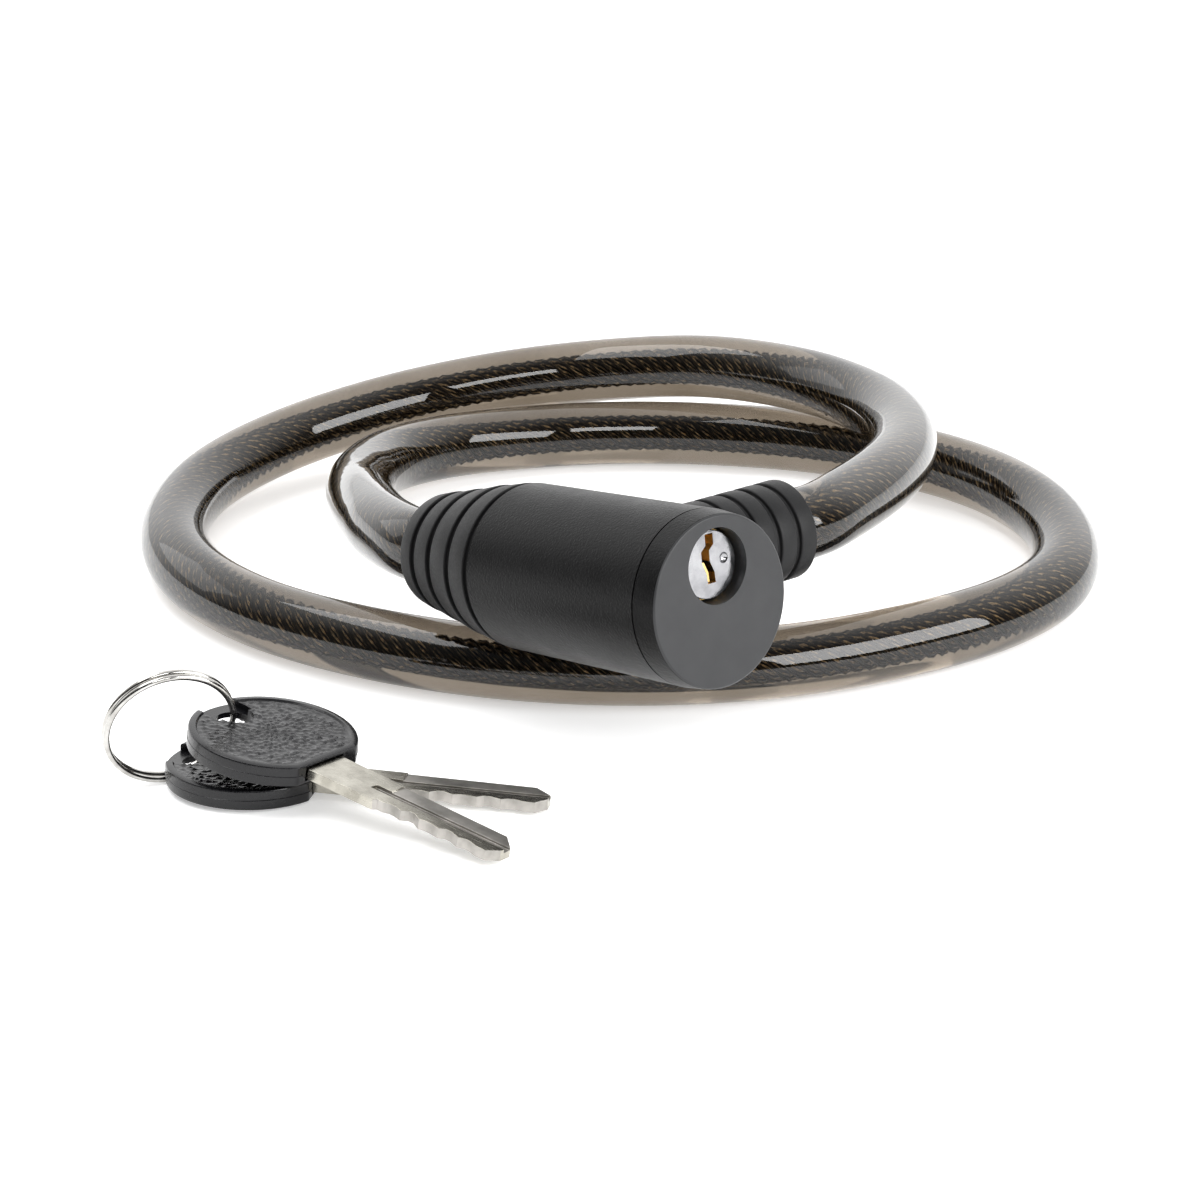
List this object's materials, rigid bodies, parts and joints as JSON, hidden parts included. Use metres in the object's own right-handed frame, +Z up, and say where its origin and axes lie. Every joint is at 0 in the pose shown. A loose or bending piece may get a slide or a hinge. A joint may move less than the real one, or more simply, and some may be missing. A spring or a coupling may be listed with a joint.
{
  "type": "keyed cable lock",
  "caption": "Round black lock body with a key cylinder in its end, a thick smoke-tinted cable looped back into its side, and two keys on a split ring.",
  "frame": {"origin": "under the middle of the lock body and keys, on the surface that the cable and keys lie on", "axes": "+Z up; +X to the viewer's right and +Y away, with the key face turned towards -Y and +X"},
  "size_m": [0.1692, 0.2151, 0.0452],
  "materials": {
    "barrel_black": "fine matt black texture",
    "cap_grey": "smooth dark grey with a slight sheen",
    "zinc": "as-cast zinc alloy",
    "boot_rubber": "matt black, moulded",
    "steel": "turned steel",
    "brass": "plain brass",
    "bright_chrome": "polished face",
    "spring_steel": "drawn wire",
    "cable_sheath": "clear smoke-tinted sheath over a dark steel rope, glossy",
    "ring_steel": "nickel-plated wire",
    "key_plastic": "black, grained faces in a smooth rim",
    "nickel_silver": "nickel silver, milled"
  },
  "bodies": {
    "lock_body": {"barrel_shell": "barrel_black", "key_end_cap": "cap_grey", "lock_housing": "zinc", "body_boot": "boot_rubber", "body_ferrule": "steel", "ferrule_pin": "steel", "cylinder_sleeve": "brass", "cable": "cable_sheath"},
    "cylinder": {"cylinder_rotor": "bright_chrome", "rotor_clip": "spring_steel", "wafer_1": "brass", "wafer_2": "brass", "wafer_3": "brass", "wafer_4": "brass", "wafer_5": "brass", "wafer_spring_1": "spring_steel", "wafer_spring_2": "spring_steel", "wafer_spring_3": "spring_steel", "wafer_spring_4": "spring_steel", "wafer_spring_5": "spring_steel"},
    "slider": {"locking_slider": "steel"},
    "plug": {"plug_bolt": "steel", "plug_boot": "boot_rubber"},
    "key_ring": {"split_ring": "ring_steel"},
    "key_a": {"key_a_head": "key_plastic", "key_a_blade": "nickel_silver"},
    "key_b": {"key_b_head": "key_plastic", "key_b_blade": "nickel_silver"}
  },
  "joints": [
    {"name": "cylinder_turn", "type": "hinge", "parent": "lock_body", "child": "cylinder", "pos_m": [0.03512, -0.00625, 0.03612], "axis": [-0.6536, 0.7466, -0.1236], "range_deg": [0, 90]},
    {"name": "slider_drop", "type": "slide", "parent": "lock_body", "child": "slider", "axis": [0.0814, -0.093, -0.9923], "range_m": [0, 0.00283]},
    {"name": "plug_pull", "type": "slide", "parent": "lock_body", "child": "plug", "axis": [0.7524, 0.6587, 0], "range_m": [0, 0.024], "deforming": ["cable"]},
    {"name": "ring_lift", "type": "slide", "parent": "lock_body", "child": "key_ring", "axis": [0, 0, 1], "range_m": [0, 0.06]},
    {"name": "key_a_swing", "type": "hinge", "parent": "key_ring", "child": "key_a", "pos_m": [-0.03235, -0.00488, 0.00893], "axis": [0.123, -0.0577, 0.9907], "range_deg": [-15, 3]},
    {"name": "key_b_swing", "type": "hinge", "parent": "key_ring", "child": "key_b", "pos_m": [-0.0377, -0.00543, 0.00224], "axis": [0.017, -0.0038, 0.9998], "range_deg": [-3, 15]}
  ],
  "couplings": [
    {"joint": "slider_drop", "follows": "cylinder_turn", "m_per_rad": 0.0018006}
  ]
}
